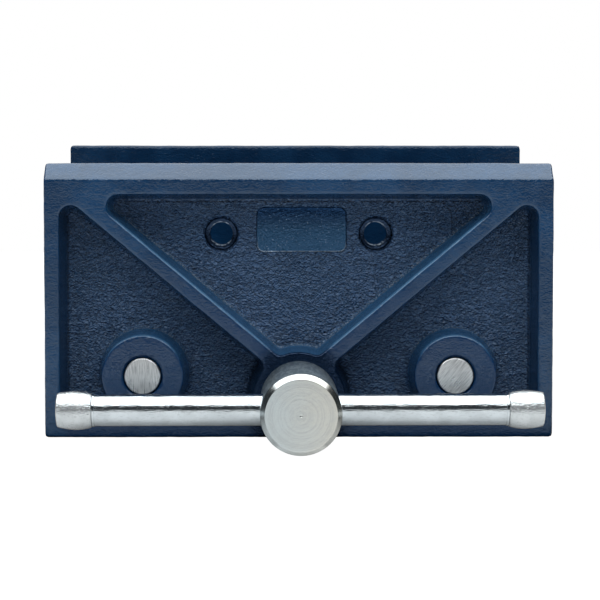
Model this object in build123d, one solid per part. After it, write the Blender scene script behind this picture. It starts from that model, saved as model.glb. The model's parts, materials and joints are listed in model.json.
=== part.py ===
"""Woodworking vise for the underside of a bench, with a plain turning screw and two guide rods.

X runs across the jaws, Y runs from the user towards the bench, Z is up, all in millimetres.
The origin is the middle of the four bench bolts, on the face that is bolted up against the bench.
"""
import os
from math import atan2, cos, degrees, pi, radians, sin, tan

from build123d import *

sqrt_three = 3 ** 0.5

# How far a cutting shape runs past the faces it cuts.
margin = 1.0

# Jaws. Heights in this part of the file are measured from the lower edge of the jaws.
jaw_width = 177.8
front_jaw_height = 95.9
rear_jaw_height = 103.85
front_jaw_thickness = 22.0
rear_jaw_thickness = 12.0
bench_face_height = 45.0
rod_height = 21.5
screw_height = 13.55
rod_x = 54.7

# The jaws stand part open, as they are usually left.
opening_at_rest = 69.8
opening_full = 114.3

# Casting of the front jaw.
relief = 14.0
draft = 8.0
strip = 5.3
bevel_height = 5.65
bevel_depth = 6.0
rib_width = 5.2
rib_angle = 40.0
rib_crossing = 19.1
rib_end_round = 4.2
rib_root_round = 3.1
rod_boss_radius = 14.3
screw_boss_radius = 16.3
floor_fillet = 1.5
rim_round = 0.6
rim_facets = 3
outer_round = 1.2
bevel_round = 0.8
panel_step_half_width = 54.5
panel_step_top = 82.2
panel_step_round = 6.0
panel_step_depth = 0.3

# Flange under the bench.
flange_depth = 58.0
flange_thickness = 8.0
flange_corner = 8.0
flange_offset = 1.0
bolt_spacing_x = 150.0
bolt_spacing_y = 28.0
bolt_hole_radius = 4.75
gusset_thickness = 5.0
gusset_depth = 50.0
gusset_foot = 8.0

# Holes for wooden liners, and the shallow place for a name plate, which is left bare.
liner_x = 27.4
rear_liner_x = 60.0
liner_height = 71.0
liner_hole_radius = 4.0
liner_recess_radius = 5.8
liner_recess_depth = 2.6
plate_width = 32.3
plate_height = 16.4
plate_corner = 2.8
plate_x = 1.15
plate_centre_height = 72.4
plate_depth = 0.9

# Guide rods, and the plate that ties them together behind the flange.
rod_radius = 6.35
rod_end_chamfer = 0.3
rod_fit = 0.02
rod_hole_chamfer = 0.7
guide_clearance = 0.05
guide_outer_radius = 11.5
guide_web_width = 12.0
rod_stud_radius = 5.0
rod_stud_length = 19.0
rod_stud_edge = 1.0
rod_pin_radius = 2.5
rod_pin_length = 31.0
rod_pin_sunk = 0.5
pin_edge = 0.4
tie_thickness = 6.0
tie_radius = 13.0
tie_lower_round = 6.0
tie_edge = 0.6
tie_nut_size = 17.0
tie_nut_height = 8.0
tie_nut_bevel = 0.9
tie_washer_radius = 9.0
tie_washer_thickness = 2.2
washer_slit = 1.2
lock_washer_play = 0.2
stop_gap = 1.5

# Screw, hub, washers and collar.
thread_radius = 8.0
thread_root_radius = 5.75
thread_crest = 1.3
thread_lead = 4.0
thread_half_angle = 15.0
thread_buried = 0.3
thread_runout = 2.0
plain_run = 8.0
thread_play = 0.3
thread_side_play = 0.25
shank_clearance = 0.3
turning_gap = 0.1
plate_clearance = 1.5
tail_radius = 5.0
tail_overhang = 4.0
bush_radius = 7.5
bush_flange_radius = 10.0
bush_flange = 1.4
spigot_radius = 7.0
spigot_length = 18.0
spigot_end_gap = 1.0
hub_radius = 13.5
hub_length = 49.5
hub_chamfer_radial = 1.65
hub_chamfer_axial = 2.6
hub_edge = 0.4
hub_mark_radius = 0.6
hub_mark_depth = 0.4
hub_pin_depth = 9.0
hub_pin_sunk = 0.7
washer_radius = 13.2
washer_thickness = 1.6
washer_edge = 0.3
retaining_washer_thickness = 1.2
collar_radius = 12.5
collar_thickness = 7.0
collar_edge = 0.6
collar_pin_sunk = 0.4
collar_recess_radius = 15.0
collar_recess_depth = 9.5
cross_pin_radius = 2.0

# Sliding handle.
handle_axis_depth = 32.1
handle_radius = 5.35
handle_hole_clearance = 0.1
handle_length = 162.7
handle_rest_angle = 0.08
cap_length = 12.1
cap_end_radius = 5.75
cap_full_radius = 6.55
cap_edge = 0.7
cap_dome = 0.35
cap_socket_radius = 3.6
cap_socket_depth = 9.0
cap_socket_gap = 0.5
handle_end_edge = 0.4

# Nut and its two screws.
nut_half_width = 19.0
nut_depth = 30.0
nut_bottom = 0.5
nut_top = 28.0
nut_edge = 1.0
nut_cheek = 5.0
nut_cheek_foot = 8.0
nut_housing_overhang = 4.0
nut_side_gap = 0.3
nut_screw_x = 14.0
nut_screw_radius = 3.0
nut_screw_thread_length = 13.0
nut_screw_clearance = 0.3
nut_screw_head_radius = 5.0
nut_screw_head_height = 6.0
nut_screw_head_sunk = 0.3
nut_screw_edge = 0.5
nut_screw_key = 5.0
nut_screw_key_depth = 3.0
nut_washer_thickness = 1.6
nut_washer_radius = 4.9

# Places in the vise's own frame that follow from the sizes above.
jaw_bottom = -bench_face_height
rod_z = jaw_bottom + rod_height
screw_z = jaw_bottom + screw_height
bench_edge_y = -flange_depth / 2 - flange_offset
flange_end_y = bench_edge_y + flange_depth
rear_clamp_y = bench_edge_y - rear_jaw_thickness
front_clamp_y = rear_clamp_y - opening_at_rest
front_face_y = front_clamp_y - front_jaw_thickness
opening_travel = opening_full - opening_at_rest
tie_front_y = flange_end_y + opening_travel + stop_gap
tie_back_y = tie_front_y + tie_thickness
hub_back_y = front_face_y - washer_thickness - turning_gap
hub_front_y = front_face_y - hub_length
handle_y = front_face_y - handle_axis_depth
collar_seat_y = front_clamp_y - collar_recess_depth
collar_front_y = collar_seat_y + retaining_washer_thickness + turning_gap
thread_start_y = front_clamp_y + plain_run
thread_end_y = tie_front_y - plain_run
nut_head_z = jaw_bottom + nut_bottom + nut_screw_head_sunk + nut_screw_head_height
nut_seat_z = nut_head_z + nut_washer_thickness
nut_top_z = jaw_bottom + nut_top
flange_bottom_z = -flange_thickness
nut_middle_y = bench_edge_y + nut_depth / 2

# The front jaw's local frame: z runs into the metal from its front face, and y is up.
into_jaw = Plane(origin=(0, front_face_y, jaw_bottom), x_dir=(-1, 0, 0), z_dir=(0, 1, 0))


def along_y(x, y, z):
    """A frame whose z axis points along +Y and whose y axis points down."""
    return Plane(origin=(x, y, z), x_dir=(1, 0, 0), z_dir=(0, 1, 0))


def along_x(x, y, z):
    """A frame whose z axis points along +X and whose y axis points up."""
    return Plane(origin=(x, y, z), x_dir=(0, 1, 0), z_dir=(1, 0, 0))


def bar_y(x, z, y0, y1, radius):
    """A round bar along Y."""
    return along_y(x, y0, z) * extrude(Circle(radius), y1 - y0)


def bar_x(y, z, x0, x1, radius):
    """A round bar along X."""
    return along_x(x0, y, z) * extrude(Circle(radius), x1 - x0)


def bar_z(x, y, z0, z1, radius):
    """A round bar along Z."""
    return Pos(x, y, z0) * extrude(Circle(radius), z1 - z0)


def block(x0, x1, y0, y1, z0, z1):
    """A box between two corners."""
    return Pos((x0 + x1) / 2, (y0 + y1) / 2, (z0 + z1) / 2) * Box(x1 - x0, y1 - y0, z1 - z0)


def turned(frame, *points):
    """A solid turned about a frame's z axis, from (radius, distance along the axis) points."""
    face = Plane.XZ * make_face(Polyline(*points, close=True))
    return frame * revolve(face, Axis.Z)


def arc_about(centre, radius, start, end):
    """An arc in a flat outline, between two directions in degrees."""
    turns = [radians(start + (end - start) * k / 2) for k in range(3)]
    return ThreePointArc(*[(centre[0] + radius * cos(t), centre[1] + radius * sin(t)) for t in turns])


def turned_with_screw(shape):
    """Turns a piece about the screw axis to where the handle stands at rest."""
    return Pos(0, 0, screw_z) * Rot(0, -handle_rest_angle, 0) * Pos(0, 0, -screw_z) * shape


# Front jaw

def front_jaw_block():
    """The outer block, with a bevel along its upper front edge and its edges rounded."""
    foot = front_jaw_height - bevel_height
    outline = Polyline(
        (0, 0),
        (0, foot),
        (bevel_depth, front_jaw_height),
        (front_jaw_thickness, front_jaw_height),
        (front_jaw_thickness, 0),
        close=True,
    )
    across = Plane(origin=(0, 0, 0), x_dir=(0, 0, 1), z_dir=(-1, 0, 0))
    body = extrude(across * make_face(outline), jaw_width / 2, both=True)
    body = fillet([e for e in body.edges() if abs(e.tangent_at(0.5).X) < 0.1], outer_round)
    long_edges = [e for e in body.edges() if abs(e.tangent_at(0.5).X) > 0.99 and e.length > jaw_width / 2]
    return fillet(long_edges, bevel_round)


def pocket_outlines():
    """The sunk panels above the ribs and beside them, as flat faces with rounded corners."""
    slope = tan(radians(rib_angle))
    half_rib = rib_width / 2 / cos(radians(rib_angle))
    inner_x = jaw_width / 2 - strip
    inner_top = front_jaw_height - bevel_height - strip
    upper_x = (inner_top - rib_crossing - half_rib) / slope
    boss = Pos(0, screw_height) * Circle(screw_boss_radius)
    upper_points = [(upper_x, inner_top), (-upper_x, inner_top), (0, rib_crossing + half_rib)]
    side_points = [
        (inner_x, strip),
        (inner_x, rib_crossing - half_rib + inner_x * slope),
        (0, rib_crossing - half_rib),
        (0, strip),
    ]

    def rounded(points):
        face = (make_face(Polyline(*points, close=True)) - boss).face()
        ends = face.vertices().filter_by_position(Axis.Y, liner_height, front_jaw_height)
        face = fillet(ends, rib_end_round).face()
        roots = face.vertices().filter_by_position(Axis.Y, 0, liner_height / 2)
        return fillet(roots, rib_root_round).face()

    return rounded(upper_points), rounded(side_points)


def sunk_pocket(outline):
    """The space of a sunk panel: rounded at the rim, then drafted walls and a fillet at the floor."""
    wall = radians(draft)
    rim_centre = rim_round * (1 - sin(wall)) / cos(wall)
    turns = [k * (pi / 2 - wall) / rim_facets for k in range(rim_facets + 1)]
    offsets = [rim_centre - rim_round * sin(t) for t in turns] + [-relief * tan(wall)]
    depths = [rim_round * (1 - cos(t)) for t in turns] + [relief]
    layers = []
    for k in range(rim_facets + 1):
        depth = depths[k + 1] - depths[k]
        taper = degrees(atan2(offsets[k] - offsets[k + 1], depth))
        layer = Solid.extrude_taper(offset(outline, offsets[k]).face(), (0, 0, depth), taper)
        if k == rim_facets:
            floor = layer.faces().sort_by(Axis.Z)[-1]
            layer = fillet(floor.edges(), floor_fillet)
        layers.append(Pos(0, 0, depths[k]) * layer)
    return layers


def rod_boss():
    """A round boss about its own axis: rounded rim, drafted side and a flare where it meets the floor."""
    wall = radians(draft)
    rim_x = rod_boss_radius - rim_round * (1 - sin(wall)) / cos(wall)
    buried = 0.06
    foot_z = relief - floor_fillet + buried
    foot_x = rod_boss_radius + (floor_fillet + foot_z * sin(wall)) / cos(wall)
    rim = arc_about((rim_x, rim_round), rim_round, -90, -draft)
    flare = arc_about((foot_x, foot_z), floor_fillet, 180 - draft, 90)
    below = relief + margin
    edges = [
        Line((0, 0), rim @ 0),
        rim,
        Line(rim @ 1, flare @ 0),
        flare,
        Line(flare @ 1, (foot_x, below)),
        Line((foot_x, below), (0, below)),
        Line((0, below), (0, 0)),
    ]
    return revolve(Plane.XZ * make_face(edges), Axis.Z)


def panel_step(outline):
    """The slightly deeper middle of the upper panel."""
    inset = relief * tan(radians(draft)) + floor_fillet
    middle = panel_step_top / 2
    window = Pos(0, middle) * RectangleRounded(2 * panel_step_half_width, panel_step_top, panel_step_round)
    area = offset(outline, -inset) & window
    return Pos(0, 0, relief - margin) * extrude(area, margin + panel_step_depth)


def front_jaw():
    """The moving jaw: a sunk panel inside a frame, with two ribs that run down to the screw boss."""
    upper, side = pocket_outlines()
    body = front_jaw_block()
    for layer in sunk_pocket(upper):
        body -= layer
    for layer in sunk_pocket(side):
        body -= layer
        body -= layer.mirror(Plane.YZ)
    body -= panel_step(upper)
    deep = front_jaw_thickness + 2 * margin
    for x in (-rod_x, rod_x):
        body += Pos(x, rod_height, 0) * rod_boss()
    for x in (-rod_x, rod_x):
        body -= Pos(x, rod_height, -margin) * extrude(Circle(rod_radius + rod_fit), deep)
        mouth = rod_radius + rod_fit + rod_hole_chamfer
        flare = Cone(mouth, mouth - rod_hole_chamfer, rod_hole_chamfer)
        body -= Pos(x, rod_height, rod_hole_chamfer / 2) * flare
    for x in (-liner_x, liner_x):
        body -= Pos(x, liner_height, -margin) * extrude(Circle(liner_hole_radius), deep)
        body -= Pos(x, liner_height, 0) * extrude(Circle(liner_recess_radius), relief + liner_recess_depth)
    plate = extrude(RectangleRounded(plate_width, plate_height, plate_corner), relief + plate_depth)
    body -= Pos(-plate_x, plate_centre_height, 0) * plate
    body -= Pos(0, screw_height, -margin) * extrude(Circle(thread_radius + shank_clearance), deep)
    recess = extrude(Circle(collar_recess_radius), collar_recess_depth + margin)
    body -= Pos(0, screw_height, front_jaw_thickness - collar_recess_depth) * recess
    body = into_jaw * body
    for x in (-rod_x, rod_x):
        body -= pin_hole(x)
    return body


def pin_hole(x):
    """The blind hole from below that a rod's pin sits in."""
    y = front_face_y + front_jaw_thickness / 2
    return bar_z(x, y, jaw_bottom - margin, jaw_bottom + rod_pin_length + margin, rod_pin_radius)


# Guide rods and tie plate

def guide_rod(x):
    """A ground rod, flush with the front of its boss, with a stud at the far end for the tie plate."""
    length = tie_front_y - front_face_y
    cut = rod_end_chamfer
    shape = turned(
        along_y(x, front_face_y, rod_z),
        (0, 0),
        (rod_radius - cut, 0),
        (rod_radius, cut),
        (rod_radius, length - cut),
        (rod_radius - cut, length),
        (rod_stud_radius, length),
        (rod_stud_radius, length + rod_stud_length - rod_stud_edge),
        (rod_stud_radius - rod_stud_edge, length + rod_stud_length),
        (0, length + rod_stud_length),
    )
    return shape - pin_hole(x)


def rod_pins():
    """The pins that hold the rods in the front jaw, driven in from below."""
    y = front_face_y + front_jaw_thickness / 2
    low = jaw_bottom + rod_pin_sunk
    pins = []
    for x in (-rod_x, rod_x):
        pin = bar_z(x, y, low, low + rod_pin_length, rod_pin_radius - rod_fit)
        pins.append(chamfer(pin.edges().filter_by(GeomType.CIRCLE), pin_edge).solid())
    return Compound(pins)


def tie_plate():
    """The flat bar across the rod ends, with a hole for the screw's tail."""
    height = tie_radius * 2
    outline = Pos(0, rod_z) * SlotCenterToCenter(2 * rod_x, height)
    lower = Pos(0, (rod_z + screw_z) / 2) * Rectangle(3 * tie_radius, height + rod_z - screw_z)
    lower = fillet(lower.vertices(), tie_lower_round)
    frame = Plane(origin=(0, tie_front_y, 0), x_dir=(1, 0, 0), z_dir=(0, -1, 0))
    body = extrude(frame * (outline + lower), -tie_thickness)
    back = body.faces().sort_by(Axis.Y)[-1]
    body = chamfer(back.edges(), tie_edge)
    start = tie_front_y - margin
    end = tie_back_y + margin
    body -= bar_y(0, screw_z, start, end, bush_radius + rod_fit)
    for x in (-rod_x, rod_x):
        body -= bar_y(x, rod_z, start, end, rod_stud_radius + rod_fit)
    return body


def tail_bush():
    """The flanged bush that carries the plain tail of the screw."""
    bore = tail_radius + shank_clearance
    return turned(
        along_y(0, tie_front_y - bush_flange, screw_z),
        (bore, 0),
        (bush_flange_radius, 0),
        (bush_flange_radius, bush_flange),
        (bush_radius, bush_flange),
        (bush_radius, bush_flange + tie_thickness),
        (bore, bush_flange + tie_thickness),
    )


def split_washer(frame, outer, inner, thickness):
    """A spring washer, lying flat, with its slit."""
    ring = extrude(Circle(outer) - Circle(inner), thickness)
    slit = Pos(outer, 0, thickness / 2) * Box(2 * (outer - inner + margin), washer_slit, thickness + margin)
    return (frame * (ring - slit)).solid()


def tie_lock_washers():
    """The spring washers under the two nuts of the tie plate."""
    inner = rod_stud_radius + lock_washer_play
    places = [along_y(x, tie_back_y, rod_z) for x in (-rod_x, rod_x)]
    return Compound([split_washer(p, tie_washer_radius, inner, tie_washer_thickness) for p in places])


def tie_nuts():
    """The two hexagon nuts on the rod ends."""
    nuts = []
    across_corners = tie_nut_size / sqrt_three * 2
    for x in (-rod_x, rod_x):
        y = tie_back_y + tie_washer_thickness
        prism = extrude(RegularPolygon(across_corners / 2, 6), tie_nut_height)
        tip = across_corners / 2 - tie_nut_bevel
        dome = Pos(0, 0, tie_nut_height / 2) * Cone(tip + tie_nut_height, tip, tie_nut_height)
        prism = prism & dome
        bore = extrude(Circle(rod_stud_radius + rod_fit), tie_nut_height + 2 * margin)
        prism -= Pos(0, 0, -margin) * bore
        nuts.append((along_y(x, y, rod_z) * prism).solid())
    return Compound(nuts)


# Screw and what turns with it

def thread_ridge(outer, inner, crest, y0, y1):
    """The ridge of a right-hand thread from y0 to y1, in step with every other one made here."""
    flare = tan(radians(thread_half_angle))
    half_crest = crest / 2
    half_foot = half_crest + (outer - inner + thread_buried) * flare
    helix = Helix(pitch=thread_lead, height=y1 - y0, radius=inner)
    outline = Polyline(
        (-thread_buried, -half_foot),
        (outer - inner, -half_crest),
        (outer - inner, half_crest),
        (-thread_buried, half_foot),
        close=True,
    )
    section = Plane(origin=helix @ 0, x_dir=(1, 0, 0), z_dir=(0, -1, 0)) * make_face(outline)
    ridge = sweep(section, path=helix, is_frenet=True)
    phase = 360 * (y0 - thread_start_y) / thread_lead
    return along_y(0, y0, screw_z) * Rot(0, 0, phase) * ridge


def main_screw():
    """Spigot in the hub, plain shank through the front jaw, long thread, and a tail in the bush."""
    body = bar_y(0, screw_z, hub_back_y - spigot_length, hub_back_y, spigot_radius)
    body += bar_y(0, screw_z, hub_back_y, thread_start_y, thread_radius)
    body += bar_y(0, screw_z, thread_start_y, thread_end_y, thread_root_radius)
    ridge_start = thread_start_y + thread_runout
    ridge_end = thread_end_y - thread_runout
    body += thread_ridge(thread_radius, thread_root_radius, thread_crest, ridge_start, ridge_end)
    body += bar_y(0, screw_z, thread_end_y, tie_back_y + tail_overhang, tail_radius)
    body = turned_with_screw(body)
    return body - hub_pin_hole() - collar_pin_hole()


def hub_pin_hole():
    """The cross hole for the pin that locks the hub to the screw."""
    y = hub_back_y - hub_pin_depth
    reach = hub_radius + margin
    return turned_with_screw(bar_x(y, screw_z, -reach, reach, cross_pin_radius))


def collar_pin_hole():
    """The cross hole for the pin that locks the collar to the screw."""
    y = collar_front_y + collar_thickness / 2
    reach = collar_radius + margin
    return turned_with_screw(bar_x(y, screw_z, -reach, reach, cross_pin_radius))


def screw_head():
    """The turned hub on the front of the screw, cross-drilled for the handle."""
    length = hub_back_y - hub_front_y
    body = turned(
        along_y(0, hub_front_y, screw_z),
        (0, hub_mark_depth),
        (hub_mark_radius, 0),
        (hub_radius - hub_chamfer_radial, 0),
        (hub_radius, hub_chamfer_axial),
        (hub_radius, length - hub_edge),
        (hub_radius - hub_edge, length),
        (spigot_radius + rod_fit, length),
        (spigot_radius + rod_fit, length - spigot_length - spigot_end_gap),
        (0, length - spigot_length - 2 * spigot_end_gap),
    )
    bore = handle_radius + handle_hole_clearance
    body -= bar_x(handle_y, screw_z, -hub_radius - margin, hub_radius + margin, bore)
    return turned_with_screw(body) - hub_pin_hole()


def cross_pin(y, reach):
    """A pin across the screw axis."""
    pin = bar_x(y, screw_z, -reach, reach, cross_pin_radius - rod_fit)
    pin = chamfer(pin.edges().filter_by(GeomType.CIRCLE), pin_edge)
    return turned_with_screw(pin)


def head_pin():
    """The pin through the hub and the screw."""
    return cross_pin(hub_back_y - hub_pin_depth, hub_radius - hub_pin_sunk)


def collar_pin():
    """The pin through the collar and the screw."""
    return cross_pin(collar_front_y + collar_thickness / 2, collar_radius - collar_pin_sunk)


def screw_collar():
    """The collar that draws the front jaw back when the screw is undone."""
    edge = collar_edge
    bore = thread_radius + rod_fit
    body = turned(
        along_y(0, collar_front_y, screw_z),
        (bore, 0),
        (collar_radius - edge, 0),
        (collar_radius, edge),
        (collar_radius, collar_thickness - edge),
        (collar_radius - edge, collar_thickness),
        (bore, collar_thickness),
    )
    return body - collar_pin_hole()


def flat_washer(y, thickness, outer):
    """A plain washer round the screw's shank."""
    bore = thread_radius + shank_clearance
    edge = washer_edge
    return turned(
        along_y(0, y, screw_z),
        (bore, 0),
        (outer - edge, 0),
        (outer, edge),
        (outer, thickness - edge),
        (outer - edge, thickness),
        (bore, thickness),
    )


# Handle

def handle_bar():
    """The sliding bar, turned down at both ends to take its caps."""
    half = handle_length / 2
    shoulder = half - cap_length
    tip = shoulder + cap_socket_depth - cap_socket_gap
    cut = handle_end_edge
    body = turned(
        along_x(0, handle_y, screw_z),
        (0, -tip),
        (cap_socket_radius - rod_fit - cut, -tip),
        (cap_socket_radius - rod_fit, -tip + cut),
        (cap_socket_radius - rod_fit, -shoulder),
        (handle_radius, -shoulder),
        (handle_radius, shoulder),
        (cap_socket_radius - rod_fit, shoulder),
        (cap_socket_radius - rod_fit, tip - cut),
        (cap_socket_radius - rod_fit - cut, tip),
        (0, tip),
    )
    return turned_with_screw(body)


def handle_cap(side):
    """A barrel-shaped end cap with a blind socket, pressed on one end of the bar."""
    shoulder = handle_length / 2 - cap_length
    swell = ThreePointArc(
        (cap_end_radius, 0),
        (cap_full_radius, cap_length / 2),
        (cap_end_radius, cap_length - cap_edge),
    )
    edges = [
        Line((cap_socket_radius, 0), (cap_end_radius, 0)),
        swell,
        Line(swell @ 1, (cap_end_radius - cap_edge, cap_length - cap_dome)),
        Line((cap_end_radius - cap_edge, cap_length - cap_dome), (0, cap_length)),
        Line((0, cap_length), (0, cap_socket_depth)),
        Line((0, cap_socket_depth), (cap_socket_radius, cap_socket_depth)),
        Line((cap_socket_radius, cap_socket_depth), (cap_socket_radius, 0)),
    ]
    body = revolve(Plane.XZ * make_face(edges), Axis.Z)
    body = along_x(shoulder, handle_y, screw_z) * body
    if side < 0:
        body = body.mirror(Plane.YZ)
    return turned_with_screw(body)


# Rear jaw and nut

def rear_jaw_plate():
    """The upright plate of the fixed jaw."""
    top = jaw_bottom + rear_jaw_height
    body = block(-jaw_width / 2, jaw_width / 2, rear_clamp_y, bench_edge_y, jaw_bottom, top)
    body = fillet(body.edges().filter_by(Axis.Y), outer_round)
    front = body.faces().sort_by(Axis.Y)[0]
    return fillet(front.edges(), bevel_round)


def bench_flange():
    """The flange that is bolted up under the bench, with a gusset under each end."""
    half = jaw_width / 2
    start = bench_edge_y - rear_jaw_thickness / 2
    body = block(-half, half, start, flange_end_y, flange_bottom_z, 0)
    ends = [e for e in body.edges().filter_by(Axis.Z) if e.center().Y > 0]
    body = fillet(ends, flange_corner)
    outline = Polyline(
        (start, -margin),
        (start, jaw_bottom + gusset_foot),
        (bench_edge_y, jaw_bottom + gusset_foot),
        (bench_edge_y + gusset_depth, flange_bottom_z),
        (bench_edge_y + gusset_depth, -margin),
        close=True,
    )
    gusset = extrude(Plane.YZ * make_face(outline), gusset_thickness)
    body += Pos(half - gusset_thickness - outer_round, 0, 0) * gusset
    body += Pos(-half + outer_round, 0, 0) * gusset
    return body


def guide_barrel(x):
    """A barrel under the flange that one rod slides in, hung from a web."""
    start = bench_edge_y - rear_jaw_thickness / 2
    body = bar_y(x, rod_z, start, flange_end_y, guide_outer_radius)
    half = guide_web_width / 2
    return body + block(x - half, x + half, start, flange_end_y, rod_z, flange_bottom_z + margin)


def nut_housing():
    """The pad above the nut and the two cheeks beside it."""
    start = bench_edge_y - rear_jaw_thickness / 2
    end = bench_edge_y + nut_depth + nut_housing_overhang
    inner = nut_half_width + nut_side_gap
    outer = inner + nut_cheek
    body = block(-outer, outer, start, end, nut_top_z, flange_bottom_z + margin)
    for side in (-1, 1):
        x0, x1 = sorted((side * inner, side * outer))
        body += block(x0, x1, start, end, jaw_bottom + nut_cheek_foot, nut_top_z)
    return body


def rear_jaw():
    """The fixed jaw: plate, bench flange, rod guides and nut housing in one casting."""
    body = rear_jaw_plate() + bench_flange() + nut_housing()
    for x in (-rod_x, rod_x):
        body += guide_barrel(x)
    start = rear_clamp_y - margin
    end = bench_edge_y + margin
    for x in (-rod_x, rod_x):
        body -= bar_y(x, rod_z, start, flange_end_y + margin, rod_radius + guide_clearance)
    body -= bar_y(0, screw_z, start, end, thread_radius + plate_clearance)
    liner_z = jaw_bottom + liner_height
    for x in (-rear_liner_x, rear_liner_x):
        body -= bar_y(x, liner_z, start, end, liner_hole_radius)
        body -= bar_y(x, liner_z, bench_edge_y - liner_recess_depth, end, liner_recess_radius)
    for x in (-bolt_spacing_x / 2, bolt_spacing_x / 2):
        for y in (-bolt_spacing_y / 2, bolt_spacing_y / 2):
            body -= bar_z(x, y, flange_bottom_z - margin, margin, bolt_hole_radius)
    for x in (-nut_screw_x, nut_screw_x):
        top = nut_top_z + nut_screw_thread_length + margin
        body -= bar_z(x, nut_middle_y, nut_top_z - margin, top, nut_screw_radius + rod_fit)
    return body


def main_nut():
    """The fixed nut, drawn up against its pad by two screws from below."""
    half = nut_half_width
    body = block(-half, half, bench_edge_y, bench_edge_y + nut_depth, jaw_bottom + nut_bottom, nut_top_z)
    body = chamfer(body.edges().filter_by(Axis.Y), nut_edge)
    outer = thread_radius + thread_play
    inner = thread_root_radius + thread_play
    crest = thread_crest + 2 * thread_side_play
    start = bench_edge_y - thread_runout
    end = bench_edge_y + nut_depth + thread_runout
    body -= bar_y(0, screw_z, start, end, inner)
    body -= turned_with_screw(thread_ridge(outer, inner, crest, start, end))
    for x in (-nut_screw_x, nut_screw_x):
        wide = nut_screw_head_radius + nut_screw_clearance
        narrow = nut_screw_radius + nut_screw_clearance
        body -= bar_z(x, nut_middle_y, jaw_bottom, nut_seat_z, wide)
        body -= bar_z(x, nut_middle_y, jaw_bottom, nut_top_z + margin, narrow)
    return body


def nut_screws():
    """Two socket-head screws, heads down, sunk in the nut."""
    screws = []
    for x in (-nut_screw_x, nut_screw_x):
        shank_top = nut_top_z + nut_screw_thread_length
        head_bottom = nut_head_z - nut_screw_head_height
        body = bar_z(x, nut_middle_y, head_bottom, nut_head_z, nut_screw_head_radius)
        body = chamfer(body.edges().filter_by(GeomType.CIRCLE).sort_by(Axis.Z)[0], nut_screw_edge)
        body += bar_z(x, nut_middle_y, nut_head_z, shank_top, nut_screw_radius)
        key = extrude(RegularPolygon(nut_screw_key / sqrt_three, 6), nut_screw_key_depth)
        body -= Pos(x, nut_middle_y, head_bottom) * key
        screws.append(body.solid())
    return Compound(screws)


def nut_lock_washers():
    """The spring washers under the heads of the nut's screws."""
    inner = nut_screw_radius + lock_washer_play
    places = [Pos(x, nut_middle_y, nut_head_z) for x in (-nut_screw_x, nut_screw_x)]
    return Compound([split_washer(p, nut_washer_radius, inner, nut_washer_thickness) for p in places])


def build_nodes():
    """Every separate piece of the vise, by the name of its node."""
    return {
        "front_jaw": front_jaw(),
        "guide_rod_left": guide_rod(-rod_x),
        "guide_rod_right": guide_rod(rod_x),
        "rod_pins": rod_pins(),
        "thrust_washer": flat_washer(front_face_y - washer_thickness, washer_thickness, washer_radius),
        "retaining_washer": flat_washer(collar_seat_y, retaining_washer_thickness, collar_radius),
        "tie_plate": tie_plate(),
        "tail_bush": tail_bush(),
        "tie_lock_washers": tie_lock_washers(),
        "tie_nuts": tie_nuts(),
        "main_screw": main_screw(),
        "screw_head": screw_head(),
        "head_pin": head_pin(),
        "screw_collar": screw_collar(),
        "collar_pin": collar_pin(),
        "handle_bar": handle_bar(),
        "handle_cap_left": handle_cap(-1),
        "handle_cap_right": handle_cap(1),
        "rear_jaw": rear_jaw(),
        "main_nut": main_nut(),
        "nut_screws": nut_screws(),
        "nut_lock_washers": nut_lock_washers(),
    }


os.makedirs("parts", exist_ok=True)
for node, shape in build_nodes().items():
    export_step(shape, f"parts/{node}.step")
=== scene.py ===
import json
import math

import bmesh
import bpy
import numpy as np
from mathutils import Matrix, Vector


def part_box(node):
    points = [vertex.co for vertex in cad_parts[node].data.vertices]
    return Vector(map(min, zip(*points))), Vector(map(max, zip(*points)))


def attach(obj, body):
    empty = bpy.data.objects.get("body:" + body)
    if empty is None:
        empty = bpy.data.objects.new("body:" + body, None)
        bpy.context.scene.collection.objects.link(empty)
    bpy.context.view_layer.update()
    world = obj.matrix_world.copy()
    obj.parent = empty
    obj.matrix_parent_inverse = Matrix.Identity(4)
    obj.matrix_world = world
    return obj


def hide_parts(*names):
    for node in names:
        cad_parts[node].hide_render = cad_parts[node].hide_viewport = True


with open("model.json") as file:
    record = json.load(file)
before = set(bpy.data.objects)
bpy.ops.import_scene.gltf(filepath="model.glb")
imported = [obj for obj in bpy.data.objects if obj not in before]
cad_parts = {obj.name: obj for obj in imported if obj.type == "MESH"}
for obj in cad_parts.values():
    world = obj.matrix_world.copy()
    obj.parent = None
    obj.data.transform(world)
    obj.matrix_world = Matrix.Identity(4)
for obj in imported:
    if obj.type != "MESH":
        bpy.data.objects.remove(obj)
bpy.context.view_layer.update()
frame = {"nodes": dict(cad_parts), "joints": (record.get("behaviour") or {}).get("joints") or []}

# A woodworking vise: navy cast jaws, a turned hub and a bright sliding bar.
# Everything is in metres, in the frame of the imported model; mm turns millimetres into metres.
mm = 0.001
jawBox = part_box("front_jaw")
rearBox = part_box("rear_jaw")
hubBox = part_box("screw_head")
faceY = jawBox[0].y
jawBottom = jawBox[0].z
screwZ = (hubBox[0].z + hubBox[1].z) / 2
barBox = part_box("handle_bar")
barY = (barBox[0].y + barBox[1].y) / 2
barRadius = (barBox[1].y - barBox[0].y) / 2
rodBoxes = [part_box(node) for node in ("guide_rod_left", "guide_rod_right")]
rodX = [(low.x + high.x) / 2 for low, high in rodBoxes]
nutScrewX = (-14 * mm, 14 * mm)
slideAxis = next(j for j in frame["joints"] if j["name"] == "handle_slide")["axis"]
restTurn = math.atan2(slideAxis[2], slideAxis[0])
sharpAngle = math.radians(35)
white = (1, 1, 1, 1)


def inMm(*sizes):
    return tuple(size * mm for size in sizes)


def shaded(colour, share):
    # a darker tone of a colour
    return tuple(c * share for c in colour[:3]) + (1,)


# Shader maths

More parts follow.
